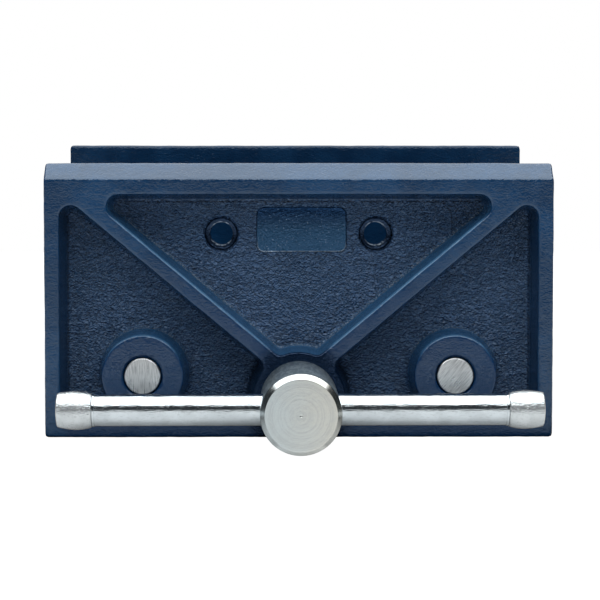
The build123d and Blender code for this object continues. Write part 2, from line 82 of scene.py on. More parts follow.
class Wire:
    # a socket that can be added, multiplied and compared like a number
    def __init__(self, nodes, socket):
        self.nodes = nodes
        self.socket = socket

    def maths(self, operation, first, second=0.0):
        return self.nodes.add("ShaderNodeMath", {"operation": operation}, {0: first, 1: second})

    def __add__(self, other):
        return self.maths("ADD", self, other)

    def __sub__(self, other):
        return self.maths("SUBTRACT", self, other)

    def __rsub__(self, other):
        return self.maths("SUBTRACT", other, self)

    def __mul__(self, other):
        return self.maths("MULTIPLY", self, other)

    def __truediv__(self, other):
        return self.maths("DIVIDE", self, other)

    def __pow__(self, other):
        return self.maths("POWER", self, other)

    __radd__ = __add__
    __rmul__ = __mul__

    def size(self):
        return self.maths("ABSOLUTE", self)

    def most(self, other):
        return self.maths("MAXIMUM", self, other)

    def ramp(self, start, end):
        # 0 at start, 1 at end and smooth between them
        settings = {"interpolation_type": "SMOOTHSTEP"}
        return self.nodes.add("ShaderNodeMapRange", settings, {0: self, 1: start, 2: end, 3: 0.0, 4: 1.0})

    def band(self, start, full, fade, end):
        # 1 from full to fade, and 0 before start and after end
        return self.ramp(start, full) * self.ramp(end, fade)


def diagonal(first, second):
    # the distance that two distances at right angles make
    return (first * first + second * second) ** 0.5


class Nodes:
    # a node tree, filled node by node
    def __init__(self, tree):
        self.tree = tree
        self.tree.nodes.clear()

    def add(self, kind, settings=None, inputs=None, output=0):
        node = self.tree.nodes.new(kind)
        for key, value in (settings or {}).items():
            setattr(node, key, value)
        for key, value in (inputs or {}).items():
            if isinstance(value, Wire):
                self.tree.links.new(value.socket, node.inputs[key])
            else:
                node.inputs[key].default_value = value
        return Wire(self, node.outputs[output]) if node.outputs else node


class Finish(Nodes):
    # one material; its patterns lie still on the piece, in Object coordinates
    def __init__(self, name, **shader):
        self.material = bpy.data.materials.new(name)
        self.material.use_nodes = True
        super().__init__(self.material.node_tree)
        self.place = self.add("ShaderNodeTexCoord", output="Object")
        sockets = {key.replace("_", " "): value for key, value in shader.items()}
        self.shader = self.add("ShaderNodeBsdfPrincipled", {}, sockets)
        self.add("ShaderNodeOutputMaterial", {}, {"Surface": self.shader})

    def feed(self, socket, value):
        self.tree.links.new(value.socket, self.shader.socket.node.inputs[socket])

    def along(self, axis):
        return self.add("ShaderNodeSeparateXYZ", {}, {0: self.place}, axis)

    def reach(self):
        # how far a point of a level sheet is from the middle of the vise
        return diagonal(self.along("X"), self.along("Y"))

    def grain(self, size, detail=3.0, rough=0.5, stretch=(1, 1, 1), bend=0.0, turn=(0, 0, 0), up=0.0):
        # noise whose lumps are size metres across, longer where stretch is over 1 and squiggly with bend;
        # it is read up metres higher than the point itself
        scale = [1 / (size * s) for s in stretch]
        spot = self.add("ShaderNodeMapping", {}, {"Vector": self.place, "Rotation": turn})
        lift = (0, 0, up * scale[2])
        spot = self.add("ShaderNodeMapping", {}, {"Vector": spot, "Location": lift, "Scale": scale})
        inputs = {"Vector": spot, "Scale": 1.0, "Detail": detail, "Roughness": rough, "Distortion": bend}
        return self.add("ShaderNodeTexNoise", {}, inputs)

    def mix(self, share, first, second):
        settings = {"data_type": "RGBA"}
        return self.add("ShaderNodeMix", settings, {0: share, 6: first, 7: second}, 2)

    def bump(self, height, depth, under=None):
        # height from 0 to 1 stands for depth metres, on top of another bump where there is one
        base = {"Normal": under} if under else {}
        return self.add("ShaderNodeBump", {}, {"Height": height, "Distance": depth, **base})


# Meshes

def piece(name, points, faces, body, nodes, finish):
    # makes the piece, turns its faces outwards, gives it its finish, hangs it on its body and hides the CAD
    # nodes it stands for
    mesh = bpy.data.meshes.new(name)
    mesh.from_pydata(points.tolist(), [], faces)
    mesh.validate()
    made = inScene(name, mesh)
    faceOut(mesh)
    return dress(made, body, nodes, finish)


def inScene(name, data):
    made = bpy.data.objects.new(name, data)
    bpy.context.scene.collection.objects.link(made)
    return made


def dress(made, body, nodes, finish):
    made.data.materials.clear()
    made.data.materials.append(finish.material)
    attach(made, body)
    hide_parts(*nodes)
    return made


def faceOut(mesh):
    work = bmesh.new()
    work.from_mesh(mesh)
    bmesh.ops.remove_doubles(work, verts=work.verts, dist=1e-7)
    bmesh.ops.recalc_face_normals(work, faces=work.faces)
    if work.calc_volume(signed=True) < 0:
        bmesh.ops.reverse_faces(work, faces=work.faces)
    work.to_mesh(mesh)
    work.free()
    mesh.shade_smooth()
    mesh.set_sharp_from_angle(angle=sharpAngle)


def baked(made):
    # the mesh with its modifiers applied
    return bpy.data.meshes.new_from_object(made.evaluated_get(bpy.context.evaluated_depsgraph_get()))


def softCorners(corners, steps=5):
    # corners are (along, radius, round): each round becomes an arc that touches both its sides
    ring = np.array([c[:2] for c in corners], float)
    outline = []
    for k, corner in enumerate(corners):
        here = ring[k]
        turn = corner[2]
        if turn <= 0 or k in (0, len(corners) - 1):
            outline.append(here[None])
            continue
        back = ring[k - 1] - here
        ahead = ring[k + 1] - here
        back = back / np.linalg.norm(back)
        ahead = ahead / np.linalg.norm(ahead)
        half = math.acos(np.clip(back @ ahead, -1, 1)) / 2
        reach = turn / math.tan(half)
        middle = here + (back + ahead) / np.linalg.norm(back + ahead) * turn / math.sin(half)
        start = here + back * reach - middle
        end = here + ahead * reach - middle
        share = np.linspace(0, 1, steps)[:, None]
        swing = math.acos(np.clip(start @ end / turn ** 2, -1, 1))
        arc = (np.sin((1 - share) * swing) * start + np.sin(share * swing) * end) / math.sin(swing)
        outline.append(middle + arc)
    return np.concatenate(outline)


def fineOutline(outline, step):
    # adds points along the long straight stretches of an outline
    parts = []
    for a, b in zip(outline[:-1], outline[1:]):
        count = max(1, math.ceil(np.linalg.norm(b - a) / step))
        parts.append(a + (b - a) * np.linspace(0, 1, count, endpoint=False)[:, None])
    return np.concatenate(parts + [outline[-1:]])


def turnedGrid(outline, around):
    # a point goes round the axis: (along, radius) becomes (radius cos, radius sin, along)
    angle = np.linspace(0, 2 * math.pi, around, endpoint=False)
    along = np.repeat(outline[:, :1], around, axis=1)
    radius = outline[:, 1:]
    return np.stack([radius * np.cos(angle), radius * np.sin(angle), along], axis=-1)


def toRadius(grid, radius, wanted):
    # moves the points of a turned grid in or out from their radius to the wanted one
    grid[..., :2] *= np.divide(wanted, radius, out=np.ones_like(radius), where=radius > 0)[..., None]
    return grid


def hexLimit(grid, flats):
    # cuts each ring of a turned grid to a hexagon whose half width is in flats
    angle = np.arctan2(grid[..., 1], grid[..., 0])
    sixth = math.pi / 3
    away = (angle + sixth / 2) % sixth - sixth / 2
    radius = np.hypot(grid[..., 0], grid[..., 1])
    return toRadius(grid, radius, np.minimum(radius, flats[:, None] / np.cos(away)))


def gridFaces(rows, columns, ring=False):
    # quads between neighbouring points; columns wrap round, and rows too on a ring
    row = np.arange(rows if ring else rows - 1)[:, None]
    column = np.arange(columns)[None]
    below = row * columns + column
    nextRow = (row + 1) % rows * columns
    right = (column + 1) % columns
    quads = np.stack([below, row * columns + right, nextRow + right, nextRow + column], axis=-1)
    return quads.reshape(-1, 4)


def toAxis(points, axis, origin):
    # lays a grid's own axis along X, Y or Z of the vise
    x, y, z = points[..., 0], points[..., 1], points[..., 2]
    laid = {"X": (z, x, y), "Y": (x, z, -y), "Z": (x, y, z)}[axis]
    return np.stack(laid, axis=-1) + np.array(origin)


def turnAtRest(points):
    # turns points about the screw axis to where the bar stands at rest
    c, s = math.cos(restTurn), math.sin(restTurn)
    x = points[..., 0]
    z = points[..., 2] - screwZ
    return np.stack([x * c - z * s, points[..., 1], x * s + z * c + screwZ], axis=-1)


# Lumpy surfaces

class Lumps:
    # smooth random heights from -1 to 1 in space, from a seeded table of numbers
    def __init__(self, seed, side=32):
        self.side = side
        self.table = np.random.default_rng(seed).uniform(-1, 1, (side, side, side))

    def at(self, points, size):
        cell = points / size
        base = np.floor(cell).astype(int)
        part = cell - base
        part = part * part * (3 - 2 * part)
        total = np.zeros(len(points))
        for corner in np.ndindex(2, 2, 2):
            weight = np.prod(np.where(corner, part, 1 - part), axis=1)
            total += weight * self.table[tuple(((base + corner) % self.side).T)]
        return total


print("tools ready")


# Finishes

class JawPaint(Finish):
    # glossy navy paint: wrinkled like leather in the sunk panels, smoother on the outer faces;
    # depths are measured behind the front jaw's face, and heights above its lower edge
    def __init__(self, name, tone, level):
        look = {
            "deep": (0.0034, 0.030, 0.088), "light": (0.0058, 0.047, 0.130), "shine": (0.80, 0.92, 1.0, 1),
            "ground": (0.036, 0.090, 0.205, 1), "groundDark": (0.024, 0.072, 0.172, 1),
            "crest": (0.105, 0.195, 0.36, 1), "paintedShade": (0.0010, 0.010, 0.034, 1),
            "glint": (0.40, 0.48, 0.58, 1), "wall": (0.026, 0.100, 0.215, 1),
            "lineLight": (0.11, 0.26, 0.44, 1), "ribBlue": (0.0005, 0.024, 0.09, 1),
            "wide": 14 * mm, "wideEdge": (0.35, 0.7), "groundEdge": (0.35, 0.65),
            "fine": (0.8 * mm, 1, 0.45, (1.6, 1.6, 1), 1.0), "tiny": (0.45 * mm, 1, 0.5, (1.3, 1.3, 1)),
            "sunkDepth": inMm(9, 13.5, 17, 18), "sunkSide": inMm(84, 83), "sunkHeight": inMm(3, 4, 87, 88),
            "hub": inMm(22, 16.5), "hubDepth": inMm(25, 24), "hubMetal": 0.65, "holeMetal": 0.7,
            "gloss": 0.15, "glossPatch": 0.08, "glossSunk": 0.03, "glossBare": 0.06,
            "smoothDepth": 0.20 * mm, "fineDepth": 1.2 * mm, "creaseDepth": 0.25 * mm, "bareFlat": 0.85,
        }
        super().__init__(name, Specular_IOR_Level=level, Specular_Tint=look["shine"])
        self.x = self.along("X")
        self.aside = self.x.size()
        self.depth = self.along("Y") - faceY
        self.height = self.along("Z") - jawBottom
        self.fromScrew = diagonal(self.x, self.height - (screwZ - jawBottom))
        self.inPanel = self.height.band(*look["sunkHeight"])
        self.fine = self.grain(*look["fine"])
        self.tiny = self.grain(*look["tiny"])
        sunk = self.depth.band(*look["sunkDepth"]) * self.aside.ramp(*look["sunkSide"]) * self.inPanel
        wide = self.grain(look["wide"])
        creased, lip = self.creases()
        faceUp, faceDown = self.relief(look["fine"])
        lines, footGlint = self.panelLines()
        recessShade, holeGlint, holeShade = self.screwHoles()
        upWall, sideWallShade, ribShade, edgeHighlight, upGlints, overScrew = self.walls()
        bare, plain, bareMetal = self.barePlate(look["glint"])
        # painted shade: the boss round the hub is drawn darker and less shiny
        hubShade = self.fromScrew.ramp(*look["hub"]) * self.depth.ramp(*look["hubDepth"]) * (1 - overScrew)
        coat = self.mix(wide.ramp(*look["wideEdge"]), shaded(look["deep"], tone), shaded(look["light"], tone))
        ground = self.mix(wide.ramp(*look["groundEdge"]), look["groundDark"], look["ground"])
        coat = self.mix(sunk, coat, ground)
        # what is laid over the coat, how thickly and in which colour, from the first to the last; most of it
        # is painted highlight and painted shade
        for mask, share, colour in (
            (faceUp * sunk, 0.55, "crest"), (faceDown * sunk, 0.75, "paintedShade"),
            (faceDown * (1 - sunk), 0.25, "paintedShade"), (lip * sunk, 0.45, "crest"),
            ((1 - creased) * sunk, 0.7, "paintedShade"), (ribShade, 0.72, "ribBlue"), (upWall, 0.6, "wall"),
            (sideWallShade, 0.5, "paintedShade"), (edgeHighlight, 1, "lineLight"), (upGlints, 0.6, "glint"),
            (hubShade, 0.75, "paintedShade"), (lines * sunk, 1, "paintedShade"), (footGlint * sunk, 0.35, "glint"),
            (recessShade, 0.75, "paintedShade"), (holeGlint, 1, "glint"),
        ):
            coat = self.mix(mask * share, coat, look[colour])
        self.feed("Base Color", self.mix(bare, coat, plain))
        rough = wide * look["glossPatch"] + look["gloss"] - sunk * look["glossSunk"]
        self.feed("Roughness", rough + bare * look["glossBare"])
        self.feed("Metallic", (hubShade * look["hubMetal"]).most(holeShade * look["holeMetal"]).most(bareMetal))
        wrinkled = sunk * (1 - bare * look["bareFlat"]) * (1 - recessShade)
        small = self.fine * 0.75 + self.tiny * 0.25
        low = self.bump(small, look["smoothDepth"])
        middle = self.bump(small * wrinkled, look["fineDepth"], low)
        self.feed("Normal", self.bump(creased * wrinkled, look["creaseDepth"], middle))

    def creases(self):
        # creases run where a squiggly noise crosses its middle value and are drawn as painted shade lines,
        # each with a painted highlight along a lip above it
        crease = {"grain": (1.5 * mm, 2, 0.5, (1.5, 1.5, 1), 1.2), "edge": (0.0, 0.05), "lip": 0.35 * mm,
                  "lipEdge": (0.05, 0.01)}
        line, raised = (self.grain(*crease["grain"], up=up) for up in (0, crease["lip"]))
        return (line - 0.5).size().ramp(*crease["edge"]), (raised - 0.5).size().ramp(*crease["lipEdge"])

    def relief(self, grain):
        # a grain's side looks up where the noise just below is higher than the noise just above; sides that
        # look up get painted highlight and sides that look down get painted shade
        slope = {"step": 0.2 * mm, "up": (0.01, 0.14), "down": (-0.01, -0.13)}
        above, beneath = (self.grain(*grain, up=up) for up in (slope["step"], -slope["step"]))
        rise = beneath - above
        return rise.ramp(*slope["up"]), rise.ramp(*slope["down"])

    def barePlate(self, glint):
        # a rectangle with round corners, darker towards its top, specked, and with a painted highlight along
        # its lower rim
        plate = {
            "middle": inMm(1.15, 72.4), "half": inMm(16.15, 8.2), "corner": 2.8 * mm,
            "depth": inMm(14.5, 14.8, 15.5, 16.5), "edge": inMm(0, -0.3), "rim": inMm(-0.8, -0.4),
            "rimDown": inMm(-3, -7), "rimBroken": (0.3, 0.5), "rimShare": 0.7,
            "tone": (0.016, 0.082, 0.185, 1), "topTone": (0.003, 0.034, 0.105, 1), "toneUp": inMm(-2, 7.5),
            "speck": (0.22, 0.33, 0.48, 1), "speckSize": 0.5 * mm, "speckEdge": (0.67, 0.74),
            "speckShare": 0.8, "metal": 0.45, "topMetal": 0.35, "metalUp": inMm(1, 8),
        }
        up = self.height - plate["middle"][1]
        past = pastCorner((self.x - plate["middle"][0]).size(), up.size(), plate["half"], plate["corner"])
        bare = past.ramp(*plate["edge"]) * self.depth.band(*plate["depth"])
        rim = past.ramp(*plate["rim"]) * up.ramp(*plate["rimDown"]) * self.tiny.ramp(*plate["rimBroken"])
        specks = self.grain(plate["speckSize"], 1).ramp(*plate["speckEdge"])
        plain = self.mix(up.ramp(*plate["toneUp"]), plate["tone"], plate["topTone"])
        plain = self.mix(specks * plate["speckShare"], plain, plate["speck"])
        plain = self.mix(rim * plate["rimShare"], plain, glint)
        return bare, plain, bare * (up.ramp(*plate["metalUp"]) * plate["topMetal"] + plate["metal"])

    def panelLines(self):
        # painted shade: the low step in the panel is drawn as a thin dark line, and so is the foot of its
        # upper wall, with a thin painted highlight line just above that foot
        step = {"half": inMm(54.5, 82.2), "corner": 6 * mm, "line": inMm(0.3, 0.1), "high": inMm(67.2, 73.2),
                "share": 0.6}
        foot = {"height": 82.35 * mm, "line": inMm(0.45, 0.15), "broken": (0.35, 0.55), "share": 0.8,
                "lightUp": 0.75 * mm, "lightLine": inMm(0.3, 0.1), "lightBroken": (0.35, 0.6)}
        past = pastCorner(self.aside, self.height, step["half"], step["corner"])
        stepLine = past.size().ramp(*step["line"]) * self.height.ramp(*step["high"])
        above = self.height - foot["height"]
        footLine = above.size().ramp(*foot["line"]) * self.fine.ramp(*foot["broken"])
        footGlint = (above - foot["lightUp"]).size().ramp(*foot["lightLine"])
        footGlint = footGlint * self.tiny.ramp(*foot["lightBroken"])
        return (stepLine * step["share"]).most(footLine * foot["share"]), footGlint

    def screwHoles(self):
        # the two screw holes: a smooth recess drawn dark and dull as painted shade, and painted highlights on
        # its inner edge above and below
        hole = {
            "aside": 27.4 * mm, "height": 71 * mm, "out": inMm(5.9, 5.6), "shade": inMm(6.6, 6.3),
            "depth": inMm(22, 21), "edge": 4.05 * mm, "edgeHighlight": inMm(0.40, 0.15),
            "rubbed": inMm(1.6, 3.4), "glintLeast": 0.05, "broken": (0.3, 0.6),
        }
        up = self.height - hole["height"]
        reach = diagonal(self.aside - hole["aside"], up)
        front = self.depth.ramp(*hole["depth"])
        edge = (reach - hole["edge"]).size().ramp(*hole["edgeHighlight"]) * front
        # the painted highlight is strongest above and below the hole
        edge = edge * (up.size().ramp(*hole["rubbed"]) * (1 - hole["glintLeast"]) + hole["glintLeast"])
        edge = edge * self.fine.ramp(*hole["broken"])
        return reach.ramp(*hole["out"]) * front, edge, reach.ramp(*hole["shade"]) * front * (1 - edge)

    def walls(self):
        # walls that look up are drawn lighter as painted light: above the ribs, the rod bosses and the screw
        # boss; the side walls get painted shade
        wall = {
            "depth": inMm(0.6, 1.4, 13, 14.2), "side": inMm(81.2, 81.6, 83.8, 84.2),
            "lineDepth": inMm(2.4, 1.2), "lineBroken": (0.35, 0.6), "lineLeast": 0.4, "lineMore": 0.25,
            "speckDepth": inMm(11, 12.5), "speckEdge": (0.50, 0.64),
        }
        rib = {
            "height": 19.1 * mm, "angle": math.radians(40), "wall": inMm(2.2, 2.8, 4.8, 5.4),
            "aside": inMm(9, 12, 67, 69), "line": inMm(2.0, 2.4, 2.9, 3.3), "lineAside": inMm(9, 13, 62, 66),
            "shadeDepth": inMm(1.8, 0.8), "shadeAside": inMm(82, 80), "shadeHeight": inMm(70, 34),
        }
        rod = {
            "aside": 54.7 * mm, "height": 21.5 * mm, "wall": inMm(13.9, 14.4, 16.5, 17),
            "wallUp": inMm(3, 10), "wallShare": 0.7, "line": inMm(13.7, 14.1, 14.6, 15),
            "lineUp": inMm(4, 11), "lineShare": 0.6,
        }
        screw = {"wall": inMm(15.8, 16.4, 22, 23), "wallUp": inMm(13, 15)}
        pastRib = self.height - rib["height"] - self.aside * math.tan(rib["angle"])
        pastRib = pastRib * math.cos(rib["angle"])
        overRod = self.height - rod["height"]
        fromRod = diagonal(self.aside - rod["aside"], overRod)
        onWall = self.depth.band(*wall["depth"]) * self.inPanel
        ribWall = pastRib.band(*rib["wall"]) * self.aside.band(*rib["aside"])
        rodWall = fromRod.band(*rod["wall"]) * overRod.ramp(*rod["wallUp"]) * rod["wallShare"]
        screwUp = self.height - (screwZ - jawBottom)
        screwWall = self.fromScrew.band(*screw["wall"]) * screwUp.ramp(*screw["wallUp"])
        upWall = ribWall.most(rodWall).most(screwWall) * onWall
        sideWallShade = self.aside.band(*wall["side"]) * onWall * (1 - upWall)
        # painted shade: ribs and bosses are drawn darker than the rim, more so lower down
        ribShade = self.depth.ramp(*rib["shadeDepth"]) * self.aside.ramp(*rib["shadeAside"])
        ribShade = ribShade * self.height.ramp(*rib["shadeHeight"])
        # painted highlight: the rounded edge of a wall that looks up is drawn as a light line, and its foot
        # gets painted glints
        ribLine = pastRib.band(*rib["line"]) * self.aside.band(*rib["lineAside"])
        rodLine = fromRod.band(*rod["line"]) * overRod.ramp(*rod["lineUp"]) * rod["lineShare"]
        edgeHighlight = ribLine.most(rodLine) * self.depth.ramp(*wall["lineDepth"])
        edgeHighlight = edgeHighlight * (self.tiny.ramp(*wall["lineBroken"]) * wall["lineMore"] + wall["lineLeast"])
        upGlints = upWall * self.depth.ramp(*wall["speckDepth"]) * self.tiny.ramp(*wall["speckEdge"])
        return upWall, sideWallShade, ribShade, edgeHighlight, upGlints, screwWall * onWall


def pastCorner(x, z, half, corner):
    # how far a point is outside a rectangle with round corners, from its middle out
    return diagonal((x - (half[0] - corner)).most(0.0), (z - (half[1] - corner)).most(0.0)) - corner


def makeSteel(name, colour, rough, size, depth, stretch=(1, 1, 1), spotted=0.0):
    # metal with fine lines or grains, dull patches and dark spots
    look = {"lineRough": 0.16, "patch": 6 * mm, "patchEdge": (0.35, 0.65), "dull": 0.86, "dark": 0.35,
            "spotSize": 0.8, "spotStretch": 0.4, "spotEdge": (0.42, 0.30)}
    steel = Finish(name, Metallic=1.0)
    lines = steel.grain(size, 4, 0.6, stretch)
    patches = steel.grain(look["patch"]).ramp(*look["patchEdge"])
    spotStretch = tuple(1 + (s - 1) * look["spotStretch"] for s in stretch)
    spots = steel.grain(size * look["spotSize"], 1, 0.5, spotStretch).ramp(*look["spotEdge"])
    metal = steel.mix(patches, colour, shaded(colour, look["dull"]))
    steel.feed("Base Color", steel.mix(spots * spotted, metal, shaded(colour, look["dark"])))
    steel.feed("Roughness", lines * look["lineRough"] + rough)
    steel.feed("Normal", steel.bump(lines, depth))
    return steel


def makeTurnedSteel():
    # fine rings about the screw axis on the faces, and streaks along it on the hub's side
    look = {
        "ring": 0.3125 * mm, "patch": (5 * mm, 4, 0.6), "rubbed": (0.8 * mm, 3, 0.6, (4, 1, 1)),
        "rubbedTurn": 0.35, "markEdge": (0.56, 0.40), "marked": 0.45, "streak": (1.1 * mm, 3, 0.6, (1, 5, 1)),
        "streakEdge": (0.40, 0.60), "sideRadius": inMm(13.2, 13.4), "sideFrom": inMm(2.4, 3.2),
        "tintWide": 11 * mm, "tintEdge": (-0.6, 1.8), "rough": 0.11, "depth": 0.03 * mm,
        "cool": (0.61, 0.67, 0.68, 1), "warm": (0.71, 0.70, 0.64, 1), "mark": (0.46, 0.48, 0.48, 1),
        "sideDark": (0.29, 0.36, 0.40, 1), "sideLight": (0.54, 0.61, 0.63, 1),
    }
    steel = Finish("turnedSteel", Metallic=1.0)
    x = steel.along("X")
    y = steel.along("Y")
    radius = diagonal(x, steel.along("Z") - screwZ)
    spot = steel.add("ShaderNodeCombineXYZ", {}, {0: radius / look["ring"], 1: y / look["ring"]})
    noise = {"Vector": spot, "Scale": 1.0, "Detail": 4.0, "Roughness": 0.65}
    rings = steel.add("ShaderNodeTexNoise", {}, noise)
    patches = steel.grain(*look["patch"])
    rubbed = steel.grain(*look["rubbed"], turn=(0, look["rubbedTurn"], 0))
    marks = rings * 0.6 + rubbed * 0.4
    tint = (x / look["tintWide"] + patches * 1.2).ramp(*look["tintEdge"])
    metal = steel.mix(tint, look["cool"], look["warm"])
    metal = steel.mix(marks.ramp(*look["markEdge"]) * look["marked"], metal, look["mark"])
    streaks = steel.grain(*look["streak"]).ramp(*look["streakEdge"])
    sideMetal = steel.mix(streaks, look["sideDark"], look["sideLight"])
    side = radius.ramp(*look["sideRadius"]) * (y - hubBox[0].y).ramp(*look["sideFrom"])
    steel.feed("Base Color", steel.mix(side, metal, sideMetal))
    steel.feed("Roughness", patches * 0.08 + rubbed * 0.12 + side * 0.17 + look["rough"])
    steel.feed("Normal", steel.bump(marks, look["depth"]))
    return steel


def makeGroundSteel(name, turn):
    # rods: ground round their length, their ends rubbed flat in one direction
    look = {
        "scratch": (0.35 * mm, 3, 0.65, (1, 12, 14)), "scratchEdge": (0.3, 0.62),
        "around": (0.4 * mm, 3, 0.6, (12, 1, 12)), "patch": 3.5 * mm, "rough": 0.14, "depth": 0.03 * mm,
        "dark": (0.40, 0.41, 0.42, 1), "bright": (0.74, 0.75, 0.75, 1),
    }
    steel = Finish(name, Metallic=1.0)
    scratches = steel.grain(*look["scratch"], turn=(0, turn, 0))
    around = steel.grain(*look["around"])
    patches = steel.grain(look["patch"])
    steel.feed("Base Color", steel.mix(scratches.ramp(*look["scratchEdge"]), look["dark"], look["bright"]))
    steel.feed("Roughness", scratches * 0.2 + patches * 0.14 + look["rough"])
    steel.feed("Normal", steel.bump(scratches * 0.6 + around * 0.4, look["depth"]))
    return steel


def makeFinishes():
    # a steel's numbers: roughness, the size and depth of its lines, their stretch and how spotted it is
    return {
        "paint": JawPaint("jawPaint", tone=1.0, level=0.88),
        # the rear jaw is the same paint drawn darker, as painted shade
        "rearPaintShaded": JawPaint("rearJawPaintShaded", tone=0.66, level=0.45),
        "turned": makeTurnedSteel(),
        "rod": makeGroundSteel("groundSteel", 0.06),
        "rodRight": makeGroundSteel("groundSteelRight", -0.7),
        "bar": makeSteel("brightBar", (0.81, 0.87, 0.90, 1), 0.05, 0.42 * mm, 0.07 * mm, (10, 1, 1), 0.25),
        "cap": makeSteel("pressedCap", (0.82, 0.86, 0.87, 1), 0.13, 0.55 * mm, 0.20 * mm, (1.5, 1, 1), 0.45),
        "thread": makeSteel("rolledThread", (0.42, 0.42, 0.43, 1), 0.28, 0.8 * mm, 0.02 * mm),
        "zinc": makeSteel("zincPlate", (0.62, 0.64, 0.66, 1), 0.30, 0.7 * mm, 0.02 * mm),
        "bronze": makeSteel("bronze", (0.50, 0.33, 0.15, 1), 0.38, 0.4 * mm, 0.02 * mm),
        "iron": makeSteel("nutIron", (0.16, 0.16, 0.17, 1), 0.42, 0.6 * mm, 0.04 * mm),
    }


finishes = makeFinishes()
print("finishes ready")


# Castings

def castPiece(name, node, voxel, most, lumps, body, slot, finish):
    # a copy of the CAD casting, skinned afresh in small even faces and made a little uneven
    mesh = frame["nodes"][node].data.copy()
    work = bmesh.new()
    work.from_mesh(mesh)
    bmesh.ops.remove_doubles(work, verts=work.verts, dist=2e-6)
    work.to_mesh(mesh)
    work.free()
    raw = inScene(name + "Raw", mesh)
    skin = raw.modifiers.new("skin", "REMESH")
    skin.mode = "VOXEL"
    skin.voxel_size = voxel
    skinned = baked(raw)
    bpy.data.objects.remove(raw)
    skinned.name = name
    low, high = (np.array(corner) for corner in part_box(node))
    points = readVectors(skinned.vertices, "co")
    normals = readVectors(skinned.vertex_normals, "vector")
    points = np.clip(points + normals * lumps(points, normals)[:, None], low, high)
    skinned.vertices.foreach_set("co", points.astype(np.float32).ravel())
    skinned.update()
    made = inScene(name, skinned)
    triangles = sum(len(face.vertices) - 2 for face in skinned.polygons)
    if triangles > most:
        thinner = made.modifiers.new("thinner", "DECIMATE")
        thinner.ratio = most / triangles
        made.data = baked(made)
        made.data.name = name
        made.modifiers.clear()
    made.data.shade_smooth()
    print(name, triangles, "triangles, thinned to", len(made.data.polygons), "faces")
    return dress(made, body, [node], finish)


def readVectors(collection, key):
    flat = np.empty(len(collection) * 3, np.float32)
    collection.foreach_get(key, flat)
    return flat.reshape(-1, 3).astype(float)


def sandCast(seed, flatY, boreX, boreZ, boreRadius, gapBefore=None):
    # heights of a painted sand casting: slow waves, then smaller lumps, and almost none on machined parts;
    # before gapBefore the mouths of the bores are sunk a little
    cast = {
        "waves": inMm(13, 0.07), "lumps": inMm(4.2, 0.05), "skin": inMm(1.9, 0.035), "sink": 0.04 * mm,
        "machined": 0.15, "flatBand": 0.6 * mm, "facing": 0.8, "mouth": 7.1 * mm, "gap": 0.32 * mm,
    }
    layers = [(Lumps(seed + k), *cast[key]) for k, key in enumerate(("waves", "lumps", "skin"))]

    def lumps(points, normals):
        height = sum(depth * layer.at(points, size) for layer, size, depth in layers) - cast["sink"]
        fromBore = np.min([np.hypot(points[:, 0] - x, points[:, 2] - boreZ) for x in boreX], axis=0)
        machined = fromBore < boreRadius
        facing = np.abs(normals[:, 1]) > cast["facing"]
        for y in flatY:
            machined |= (np.abs(points[:, 1] - y) < cast["flatBand"]) & facing
        height = np.where(machined, height * cast["machined"], height)
        if gapBefore is not None:
            sunk = (fromBore < cast["mouth"]) & (points[:, 1] < gapBefore)
            height = np.where(sunk, -cast["gap"], height)
        return height

    return lumps


# Turned and threaded pieces

def middleOf(box):
    return [(a + b) / 2 for a, b in zip(*box)]


def turnedPiece(name, outline, axis, origin, body, nodes, finish, around=96, ring=False, uneven=None,
                spin=True):
    # an outline of (along, radius) carried round an axis; spin turns it to where the bar stands at rest
    grid = turnedGrid(outline, around)
    if uneven is not None:
        radius = np.hypot(grid[..., 0], grid[..., 1])
        grid = toRadius(grid, radius, radius + uneven(grid))
    points = toAxis(grid, axis, origin)
    if spin:
        points = turnAtRest(points)
    faces = gridFaces(len(outline), around, ring).tolist()
    return piece(name, points.reshape(-1, 3), faces, body, nodes, finish)


def joined(name, grids, body, nodes, finish, ring=False):
    # several like grids as one piece of separate solids
    rows, columns = grids[0].shape[:2]
    one = gridFaces(rows, columns, ring)
    quads = np.concatenate([one + k * rows * columns for k in range(len(grids))])
    points = np.concatenate([g.reshape(-1, 3) for g in grids])
    return piece(name, points, quads.tolist(), body, nodes, finish)


def threadHeight(grid, thread, start, end, fade):
    # how far a ridge that climbs one lead each turn stands above the root: flat top, sloping flanks
    turn = np.arctan2(grid[..., 1], grid[..., 0]) / (2 * math.pi)
    along = grid[..., 2]
    lead, high = thread["lead"], thread["crest"] - thread["root"]
    away = np.abs(((along - start) / lead - turn + 0.5) % 1 - 0.5) * lead
    flank = high * math.tan(math.radians(thread["flank"]))
    height = np.clip((thread["ridge"] / 2 + flank - away) / flank, 0, 1) * high
    return height * np.clip((along - start) / fade, 0, 1) * np.clip((end - along) / fade, 0, 1)


def cutHoles(made, cutters, finish):
    # bores a piece with closed cylinders, then throws the cutters away
    for k, cutter in enumerate(cutters):
        hole = made.modifiers.new(f"hole{k}", "BOOLEAN")
        hole.operation = "DIFFERENCE"
        hole.solver = "EXACT"
        hole.object = cutter
    mesh = baked(made)
    made.modifiers.clear()
    made.data = mesh
    mesh.name = made.name
    for cutter in cutters:
        bpy.data.objects.remove(cutter)
    mesh.shade_smooth()
    mesh.set_sharp_from_angle(angle=sharpAngle)
    mesh.materials.clear()
    mesh.materials.append(finish.material)


def crossCutter(radius, half, y, around):
    # a closed cylinder across the screw axis, along the bar
    outline = np.array([(-half, 0), (-half, radius), (half, radius), (half, 0)])
    points = turnAtRest(toAxis(turnedGrid(outline, around), "X", (0, y, screwZ)))
    mesh = bpy.data.meshes.new("cutter")
    mesh.from_pydata(points.reshape(-1, 3).tolist(), [], gridFaces(len(outline), around).tolist())
    faceOut(mesh)
    return inScene("cutter", mesh)


